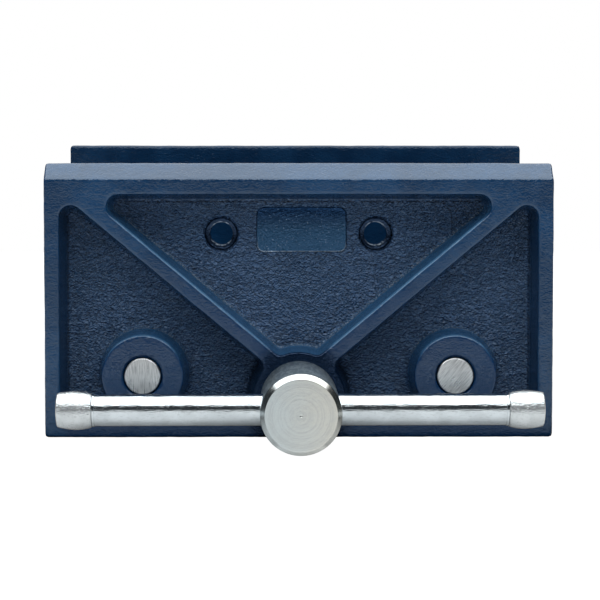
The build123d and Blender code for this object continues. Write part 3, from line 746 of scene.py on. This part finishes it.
def makeHub():
    hub = {
        "mark": 0.5 * mm, "markDeep": 0.25 * mm, "markTurn": 0.05 * mm, "face": 11.85 * mm,
        "faceTurn": 0.12 * mm, "slope": 2.35 * mm, "shoulder": 13.42 * mm, "shoulderLong": 3.2 * mm,
        "turn": 0.5 * mm, "back": 0.4 * mm, "spigot": 7.02 * mm, "spigotLong": 19 * mm, "pin": 2.0 * mm,
        "pinFromBack": 9 * mm, "play": 0.1 * mm, "past": 2 * mm, "step": 0.45 * mm,
    }
    length = hubBox[1].y - hubBox[0].y
    side = (hubBox[1].x - hubBox[0].x) / 2
    bottom = length - hub["spigotLong"]
    corners = [
        (hub["markDeep"], 0, 0), (0, hub["mark"], hub["markTurn"]), (0, hub["face"], hub["faceTurn"]),
        (hub["slope"], hub["shoulder"], hub["turn"]), (hub["shoulderLong"], side, 2 * hub["turn"]),
        (length - hub["back"], side, hub["back"] / 2), (length, side - hub["back"], hub["back"] / 4),
        (length, hub["spigot"], 0), (bottom, hub["spigot"], 0), (bottom, 0, 0),
    ]
    outline = fineOutline(softCorners(corners, 6), hub["step"])
    made = turnedPiece("hub", outline, "Y", (0, hubBox[0].y, screwZ), "screw", ["screw_head"],
                       finishes["turned"], 144)
    cutHoles(made, [
        crossCutter(barRadius + hub["play"], side + hub["past"], barY, 96),
        crossCutter(hub["pin"], side + hub["past"], hubBox[1].y - hub["pinFromBack"], 48),
    ], finishes["turned"])


def makeBar():
    bar = {
        "shoulder": 69.25 * mm, "flare": 0.2 * mm, "flareLong": 0.9 * mm, "turn": 0.1 * mm,
        "tenon": 3.58 * mm, "tip": 77.7 * mm, "edge": 0.4 * mm, "groove": 0.16 * mm, "step": 0.6 * mm,
        "drawn": inMm(0.7, 0.005), "bowed": inMm(9, 0.004), "lineStretch": 50,
    }
    end, neck = bar["shoulder"], bar["shoulder"] - bar["flareLong"]
    flared = barRadius + bar["flare"]
    half = [
        (neck - bar["turn"], barRadius, bar["turn"]), (neck, flared, bar["turn"]),
        (end - bar["groove"], flared, bar["turn"] / 2), (end, flared - 2 * bar["groove"], 0),
        (end, bar["tenon"], 0), (bar["tip"] - bar["edge"], bar["tenon"], 0),
        (bar["tip"], bar["tenon"] - bar["edge"], 0), (bar["tip"], 0, 0),
    ]
    corners = [(-a, r, t) for a, r, t in reversed(half)] + half
    outline = fineOutline(softCorners(corners), bar["step"])
    lines, waves = Lumps(11), Lumps(12)

    def drawn(grid):
        # fine lines along the bar, and slow waves
        flat = grid.reshape(-1, 3)
        size, deep = bar["drawn"]
        fine = lines.at(flat * (1, 1, 1 / bar["lineStretch"]), size) * deep
        size, deep = bar["bowed"]
        return (fine + waves.at(flat, size) * deep).reshape(grid.shape[:2])

    turnedPiece("slidingBar", outline, "X", (0, barY, screwZ), "handle", ["handle_bar"],
                finishes["bar"], 128, uneven=drawn)


def makeCap(name, node, side):
    # a barrel whose belly is (2 share ^ 0.88 - 1) ^ 2 short of full, then a round rim and a low dome
    cap = {
        "start": 69.25 * mm, "long": 12.1 * mm, "end": 5.75 * mm, "full": 6.53 * mm, "lean": 0.88,
        "socket": 3.6 * mm, "deep": 9 * mm, "edge": 0.9 * mm, "dome": 0.35 * mm, "groove": 0.18 * mm,
        "coarse": 3.1 * mm, "fine": 1.1 * mm, "lumps": 0.02 * mm,
    }
    share = np.linspace(0, 1, 40)
    belly = cap["full"] - (cap["full"] - cap["end"]) * np.abs(2 * share ** cap["lean"] - 1) ** 2
    rimStart, rimRadius = cap["long"] - cap["edge"], cap["end"] - cap["edge"]
    barrel = np.stack([cap["groove"] + share * (rimStart - cap["groove"]), belly], axis=1)
    turn = np.linspace(0, math.pi / 2, 7)[1:]
    rimLong = cap["edge"] - cap["dome"]
    rim = np.stack([rimStart + rimLong * np.sin(turn), rimRadius + cap["edge"] * np.cos(turn)], axis=1)
    inward = np.linspace(0, 1, 12)[1:]
    dome = np.stack([cap["long"] - cap["dome"] * (1 - inward) ** 2, rimRadius * (1 - inward)], axis=1)
    mouth = cap["end"] - cap["groove"]
    inside = [(cap["deep"], 0), (cap["deep"], cap["socket"]), (0, cap["socket"]), (0, mouth)]
    outline = np.concatenate([np.array(inside), barrel, rim, dome])
    outline[:, 0] = side * (cap["start"] + outline[:, 0])
    coarse, fine = Lumps(20 + side), Lumps(24 + side)

    def pressed(grid):
        flat = grid.reshape(-1, 3)
        height = coarse.at(flat, cap["coarse"]) + 0.5 * fine.at(flat, cap["fine"])
        return (height * cap["lumps"]).reshape(grid.shape[:2])

    turnedPiece(name, outline, "X", (0, barY, screwZ), "handle", [node], finishes["cap"], 112,
                uneven=pressed)


def makeRod(name, node, finish):
    low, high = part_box(node)
    x, _, z = middleOf((low, high))
    radius = (high.x - low.x) / 2
    rod = {"edge": 0.3 * mm, "studLong": 19 * mm, "root": 4.1 * mm, "crest": 5.0 * mm, "lead": 1.5 * mm,
           "ridge": 0.2 * mm, "flank": 15, "rows": 12, "tip": 0.9}
    end = high.y - low.y
    shoulder = end - rod["studLong"]
    corners = [
        (0, 0, 0), (0, radius - rod["edge"], 0), (rod["edge"], radius, 0),
        (shoulder - rod["edge"], radius, 0), (shoulder, radius - rod["edge"], 0), (shoulder, rod["root"], 0),
        (end - rod["edge"], rod["root"], 0),
        (end, rod["root"] * rod["tip"], 0), (end, 0, 0),
    ]
    outline = fineOutline(softCorners(corners), rod["lead"] / rod["rows"])
    # the plain shank needs a quarter of the rings that the thread needs
    shank = np.flatnonzero((outline[:, 0] > rod["edge"]) & (outline[:, 0] < shoulder - rod["edge"]))
    outline = np.delete(outline, np.concatenate([shank[::2], shank[1::4]]), axis=0)

    def thread(grid):
        height = threadHeight(grid, rod, shoulder, end, rod["lead"])
        return np.where(grid[..., 2] > shoulder + 1e-6, height, 0)

    turnedPiece(name, outline, "Y", (x, low.y, z), "moving_jaw", [node], finish, 72,
                uneven=thread, spin=False)


def makeLeadScrew():
    low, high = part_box("main_screw")
    screw = {
        "spigot": 7.0 * mm, "spigotLong": 18 * mm, "shank": 8.0 * mm, "shankEnd": faceY + 30 * mm,
        "root": 5.75 * mm, "rootTurn": 0.2 * mm, "crest": 8.0 * mm, "ridge": 1.3 * mm, "flank": 15,
        "lead": 4 * mm, "rows": 20, "tail": 5.0 * mm, "tailLong": 18 * mm, "tailEdge": 0.8 * mm,
    }
    start = screw["shankEnd"] - low.y
    end = high.y - low.y
    threadEnd = end - screw["tailLong"]
    corners = [
        (0, 0, 0), (0, screw["spigot"], 0), (screw["spigotLong"], screw["spigot"], 0),
        (screw["spigotLong"], screw["shank"], 0), (start, screw["shank"], 0),
        (start, screw["root"], screw["rootTurn"]), (threadEnd, screw["root"], 0),
        (threadEnd, screw["tail"], 0), (end - screw["tailEdge"], screw["tail"], 0),
        (end, screw["tail"] - screw["tailEdge"], 0), (end, 0, 0),
    ]
    outline = fineOutline(softCorners(corners), screw["lead"] / screw["rows"])

    def thread(grid):
        height = threadHeight(grid, screw, start, threadEnd, screw["lead"] / 2)
        plain = (grid[..., 2] < start + 1e-6) | (grid[..., 2] > threadEnd - 1e-6)
        return np.where(plain, 0, height)

    turnedPiece("leadScrew", outline, "Y", (0, low.y, screwZ), "screw", ["main_screw"],
                finishes["thread"], 56, uneven=thread)


def makeRing(name, node, body, finish, bore, edge=0.25 * mm, spin=False, step=0.5 * mm):
    # a flat washer or collar: a closed outline with soft outer edges
    low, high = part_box(node)
    x, _, z = middleOf((low, high))
    radius = (high.z - low.z) / 2
    long = high.y - low.y
    corners = [(0, bore, 0), (0, radius, edge), (long, radius, edge), (long, bore, 0), (0, bore, 0)]
    outline = fineOutline(softCorners(corners), step)[:-1]
    return turnedPiece(name, outline, "Y", (x, low.y, z), body, [node], finish, ring=True, spin=spin)


def makeWashersAndCollar():
    ring = {"washerBore": 8.3 * mm, "collarBore": 8.02 * mm, "collarEdge": 0.6 * mm, "pin": 2.0 * mm,
            "past": 16 * mm}
    turned = finishes["turned"]
    makeRing("frontWasher", "thrust_washer", "moving_jaw", turned, ring["washerBore"])
    makeRing("backWasher", "retaining_washer", "moving_jaw", turned, ring["washerBore"])
    collar = makeRing("drawCollar", "screw_collar", "screw", turned, ring["collarBore"],
                      ring["collarEdge"], True)
    middle = middleOf(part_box("screw_collar"))
    cutHoles(collar, [crossCutter(ring["pin"], ring["past"], middle[1], 48)], turned)


def makeBush():
    low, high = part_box("tail_bush")
    bush = {"bore": 5.3 * mm, "body": 7.5 * mm, "flange": 1.4 * mm, "edge": 0.25 * mm, "step": 0.5 * mm}
    radius = (high.z - low.z) / 2
    long = high.y - low.y
    corners = [
        (0, bush["bore"], 0), (0, radius, bush["edge"]), (bush["flange"], radius, bush["edge"]),
        (bush["flange"], bush["body"], 0), (long, bush["body"], bush["edge"]), (long, bush["bore"], 0),
        (0, bush["bore"], 0),
    ]
    outline = fineOutline(softCorners(corners), bush["step"])[:-1]
    turnedPiece("tailBush", outline, "Y", (0, low.y, screwZ), "moving_jaw", ["tail_bush"],
                finishes["bronze"], 80, ring=True, spin=False)


def pinOutline(half, radius, edge=0.4 * mm, step=1.0 * mm):
    corners = [(-half, 0, 0), (-half, radius, edge), (half, radius, edge), (half, 0, 0)]
    return fineOutline(softCorners(corners), step)


def makePins():
    for name, node in (("hubPin", "head_pin"), ("collarPin", "collar_pin")):
        low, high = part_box(node)
        outline = pinOutline((high.x - low.x) / 2, (high.y - low.y) / 2)
        turnedPiece(name, outline, "X", (0, (low.y + high.y) / 2, screwZ), "screw", [node],
                    finishes["rod"], 40)
    low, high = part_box("rod_pins")
    _, y, z = middleOf((low, high))
    radius = (high.y - low.y) / 2
    shape = turnedGrid(pinOutline((high.z - low.z) / 2, radius), 40)
    grids = [toAxis(shape, "Z", (side * (high.x - radius), y, z)) for side in (-1, 1)]
    joined("rodPins", grids, "moving_jaw", ["rod_pins"], finishes["rod"])


def makeTieNuts():
    low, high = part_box("tie_nuts")
    nut = {"flat": 8.5 * mm, "bore": 5.05 * mm, "boreEdge": 0.6 * mm, "corner": 9.75 * mm, "front": 8.3 * mm,
           "back": 8.0 * mm, "slope": 0.9 * mm, "hexFrom": 6.25 * mm, "step": 0.35 * mm}
    long = high.y - low.y
    mouth = nut["bore"] + nut["boreEdge"]
    corners = [
        (0, mouth, 0), (0, nut["front"], 0), (nut["slope"] / 2, nut["corner"], 0),
        (long - nut["slope"], nut["corner"], 0), (long, nut["back"], 0), (long, mouth, 0),
        (long - nut["boreEdge"], nut["bore"], 0), (nut["boreEdge"], nut["bore"], 0), (0, mouth, 0),
    ]
    outline = fineOutline(softCorners(corners), nut["step"])[:-1]
    limit = np.where(outline[:, 1] > nut["hexFrom"], nut["flat"], np.inf)
    shape = hexLimit(turnedGrid(outline, 96), limit)
    grids = [toAxis(shape, "Y", (x, low.y, (low.z + high.z) / 2)) for x in rodX]
    joined("tieNuts", grids, "moving_jaw", ["tie_nuts"], finishes["zinc"], True)


def splitRing(inner, outer, thick, slit):
    # a square-edged wire carried round most of a turn; its ends are closed by the last rows
    edge = 0.2 * mm
    section = np.array([(0, inner + edge), (0, outer - edge), (edge, outer), (thick - edge, outer),
                        (thick, outer - edge), (thick, inner + edge), (thick - edge, inner), (edge, inner)])
    gap = slit / 2 / ((inner + outer) / 2)
    angle = np.linspace(gap, 2 * math.pi - gap, 72)[:, None]
    along, radius = section.T
    rows = np.stack([radius * np.cos(angle), radius * np.sin(angle), along + 0 * angle], axis=-1)
    first, last = (np.broadcast_to(row.mean(0), rows[:1].shape) for row in (rows[0], rows[-1]))
    return np.concatenate([first, rows, last])


def makeLockWashers():
    washer = {"tie": inMm(5.2, 9.0), "nut": inMm(3.2, 4.9), "slit": 1.2 * mm}
    low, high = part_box("tie_lock_washers")
    shape = splitRing(*washer["tie"], high.y - low.y, washer["slit"])
    grids = [toAxis(shape, "Y", (x, low.y, (low.z + high.z) / 2)) for x in rodX]
    joined("tieLockWashers", grids, "moving_jaw", ["tie_lock_washers"], finishes["zinc"])
    low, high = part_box("nut_lock_washers")
    shape = splitRing(*washer["nut"], high.z - low.z, washer["slit"])
    grids = [toAxis(shape, "Z", (x, (low.y + high.y) / 2, low.z)) for x in nutScrewX]
    joined("nutLockWashers", grids, "fixed_jaw", ["nut_lock_washers"], finishes["zinc"])


def makeNutScrews():
    # cap screws with a hexagon socket, heads down
    low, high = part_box("nut_screws")
    screw = {"head": 5.0 * mm, "headHigh": 6.0 * mm, "shank": 3.0 * mm, "key": 2.5 * mm, "keyDeep": 3.0 * mm,
             "keyMouth": 3.2 * mm, "edge": 0.5 * mm, "tip": 0.6 * mm, "step": 0.8 * mm, "wide": 9 * mm}
    end = high.z - low.z
    outside = [
        (0, screw["keyMouth"], 0), (0, screw["head"], screw["edge"]), (screw["headHigh"], screw["head"], 0),
        (screw["headHigh"], screw["shank"], 0), (end - screw["tip"], screw["shank"], 0),
        (end, screw["shank"] - screw["tip"], 0), (end, 0, 0),
    ]
    socket = np.array([(screw["keyDeep"], 0), (screw["keyDeep"], screw["wide"]), (0, screw["wide"])])
    outside = fineOutline(softCorners(outside), screw["step"])
    # only the socket's wall, drawn too wide, is cut to a hexagon
    limit = np.concatenate([[np.inf], [screw["key"]] * 2, np.full(len(outside), np.inf)])
    shape = hexLimit(turnedGrid(np.concatenate([socket, outside]), 72), limit)
    grids = [toAxis(shape, "Z", (x, (low.y + high.y) / 2, low.z)) for x in nutScrewX]
    joined("nutScrews", grids, "fixed_jaw", ["nut_screws"], finishes["zinc"])


def makeCastings():
    # for each casting: the size of its skin's faces and how many triangles it may keep
    skin = {"movingJaw": (0.55 * mm, 190000), "fixedJaw": (0.9 * mm, 150000), "tieBar": (0.6 * mm, 90000),
            "screwNut": (0.5 * mm, 90000)}
    bore = {"jaw": 7.6 * mm, "mouthTo": faceY + 4 * mm, "tie": 6.0 * mm, "nut": 9.5 * mm}
    rodZ = middleOf(rodBoxes[0])[2]
    paint = finishes["paint"]
    front = sandCast(3, [jawBox[1].y], rodX, rodZ, bore["jaw"], bore["mouthTo"])
    castPiece("movingJaw", "front_jaw", *skin["movingJaw"], front, "moving_jaw", "jaw_paint", paint)
    rear = sandCast(7, [rearBox[0].y], rodX, rodZ, bore["jaw"])
    rearPaintShaded = finishes["rearPaintShaded"]
    castPiece("fixedJaw", "rear_jaw", *skin["fixedJaw"], rear, "fixed_jaw", "jaw_paint", rearPaintShaded)
    plate = sandCast(15, [], rodX, rodZ, bore["tie"])
    castPiece("tieBar", "tie_plate", *skin["tieBar"], plate, "moving_jaw", "jaw_paint", paint)
    nut = sandCast(19, [], [0.0], screwZ, bore["nut"])
    castPiece("screwNut", "main_nut", *skin["screwNut"], nut, "fixed_jaw", "nut_iron", finishes["iron"])


# Camera and light

def makeCamera():
    shot = {
        "place": (-10.2 * mm, faceY - 665.0 * mm, jawBottom + 88.1 * mm),
        "down": 3.432, "right": 0.531, "lens": 114.68, "sensor": 36, "shift": 0.0209, "clip": (0.01, 50),
    }
    data = bpy.data.cameras.new("camera")
    data.sensor_width = shot["sensor"]
    data.lens = shot["lens"]
    data.shift_x = shot["shift"]
    data.clip_start, data.clip_end = shot["clip"]
    camera = inScene("camera", data)
    camera.location = shot["place"]
    camera.rotation_euler = (math.radians(90 - shot["down"]), 0, -math.radians(shot["right"]))
    bpy.context.scene.camera = camera


def makeLight():
    # one long soft box overhead that shines down, from in front of the vise to behind it, in a pale room
    light = {"room": 0.47, "radiance": 1.75, "height": 0.62, "front": -0.74, "back": 0.47, "long": 1.35,
             "colour": (0.94, 0.98, 1.0)}
    data = bpy.data.lights.new("softBox", "AREA")
    data.shape = "RECTANGLE"
    data.size = light["long"]
    data.size_y = light["back"] - light["front"]
    # an area lamp of radiance L and area A has power pi * L * A
    data.energy = math.pi * light["radiance"] * data.size * data.size_y
    data.color = light["colour"]
    lamp = inScene("softBox", data)
    lamp.location = (0, faceY + (light["front"] + light["back"]) / 2, light["height"])
    lamp.visible_camera = False
    world = bpy.data.worlds.new("studio")
    world.use_nodes = True
    bpy.context.scene.world = world
    # the room is white to the camera and in reflections, and dimmer as a light
    room = Nodes(world.node_tree)
    rays = ("Is Camera Ray", "Is Glossy Ray", "Is Transmission Ray")
    camera, glossy, through = (room.add("ShaderNodeLightPath", output=ray) for ray in rays)
    inputs = {0: camera.most(glossy).most(through), 3: light["room"], 4: 1.0}
    strength = room.add("ShaderNodeMapRange", {}, inputs)
    sky = room.add("ShaderNodeBackground", {}, {"Color": white, "Strength": strength})
    room.add("ShaderNodeOutputWorld", {}, {"Surface": sky})


def stageSheet(name, points, faces, finish):
    mesh = bpy.data.meshes.new(name)
    mesh.from_pydata(points, [], faces)
    mesh.materials.append(finish.material)
    made = inScene(name, mesh)
    return made


def levelSheet(name, half, z, finish):
    return stageSheet(name, [(-half, -half, z), (half, -half, z), (half, half, z), (-half, half, z)],
                      [(0, 1, 2, 3)], finish)


def makeFloor():
    floor = {"half": 8.0, "below": 0.22, "shade": 0.36, "glow": 0.42, "farGlow": 0.62, "reach": (0.25, 0.60)}
    pale = Finish("paleFloor", Base_Color=shaded(white, floor["shade"]), Roughness=0.9,
                  Specular_IOR_Level=0.0, Emission_Color=white)
    away = pale.reach()
    seen = pale.add("ShaderNodeLightPath", output="Is Camera Ray")
    through = pale.add("ShaderNodeLightPath", output="Is Transmission Ray")
    glow = away.ramp(*floor["reach"]) * floor["farGlow"] + floor["glow"]
    pale.feed("Emission Strength", seen.most(through) * glow)
    levelSheet("floor", floor["half"], jawBottom - floor["below"], pale)


def makeTable():
    # a table right under the jaws, which lights and is mirrored in the vise but isn't seen itself
    table = {
        "half": 3.0, "below": 1.5 * mm, "shade": 0.62, "under": 0.02, "underFront": inMm(-30, -12),
        "underBack": inMm(130, 90), "underSide": inMm(150, 100), "glow": 0.30, "reach": (0.4, 1.1),
        "hubGlow": 0.35, "hubSide": inMm(13, 9), "hubSpan": inMm(14, 10),
    }
    cloth = Finish("paleTable", Roughness=0.9, Specular_IOR_Level=0.0, Emission_Color=white)
    aside = cloth.along("X").size()
    y = cloth.along("Y")
    # painted shadow: the table is drawn darker under the vise
    under = (y - faceY).ramp(*table["underFront"]) * y.ramp(*table["underBack"])
    under = under * aside.ramp(*table["underSide"])
    cloth.feed("Base Color", cloth.mix(under, shaded(white, table["shade"]), shaded(white, table["under"])))
    # the hub hangs so low that its lower slope would mirror its own shadow, so a painted glow near the hub,
    # seen only in reflections, lights that slope
    nearHub = aside.ramp(*table["hubSide"]) * (y - hubBox[0].y).size().ramp(*table["hubSpan"])
    glow = cloth.reach().ramp(*table["reach"]) * table["glow"] + nearHub * table["hubGlow"]
    mirrored = cloth.add("ShaderNodeLightPath", output="Is Glossy Ray")
    cloth.feed("Emission Strength", mirrored * glow)
    sheet = levelSheet("table", table["half"], jawBottom - table["below"], cloth)
    sheet.visible_camera = False
    sheet.visible_shadow = False


def makeScreen():
    # a dark screen round the front and the sides, which only reflections see
    screen = {"away": 1.1, "low": 0.5, "high": 40, "turn": 155, "columns": 40,
              "shade": (0.04, 0.045, 0.05, 1)}
    turn = np.radians(np.linspace(-screen["turn"], screen["turn"], screen["columns"]))
    ring = np.stack([np.sin(turn) * screen["away"], faceY - np.cos(turn) * screen["away"]], axis=1)
    heights = [screwZ + math.tan(math.radians(screen[key])) * screen["away"] for key in ("low", "high")]
    points = np.concatenate([np.column_stack([ring, np.full(len(ring), z)]) for z in heights])
    dark = Finish("darkCloth", Roughness=1.0, Specular_IOR_Level=0.0, Base_Color=screen["shade"])
    faces = gridFaces(2, len(ring)).tolist()[:-1]
    sheet = stageSheet("darkScreen", points.tolist(), faces, dark)
    sheet.visible_camera = False
    sheet.visible_diffuse = False
    sheet.visible_shadow = False


bpy.context.scene.view_settings.view_transform = "Standard"
makeCamera()
makeLight()
makeFloor()
makeTable()
makeScreen()
print("camera and light ready")

makeCastings()
print("castings ready")
makeHub()
makeBar()
makeCap("barCapLeft", "handle_cap_left", -1)
makeCap("barCapRight", "handle_cap_right", 1)
print("hub and handle ready")
makeRod("rodLeft", "guide_rod_left", finishes["rod"])
makeRod("rodRight", "guide_rod_right", finishes["rodRight"])
makeLeadScrew()
makeWashersAndCollar()
makeBush()
makePins()
makeTieNuts()
makeLockWashers()
makeNutScrews()
print("rods, screw and fasteners ready")
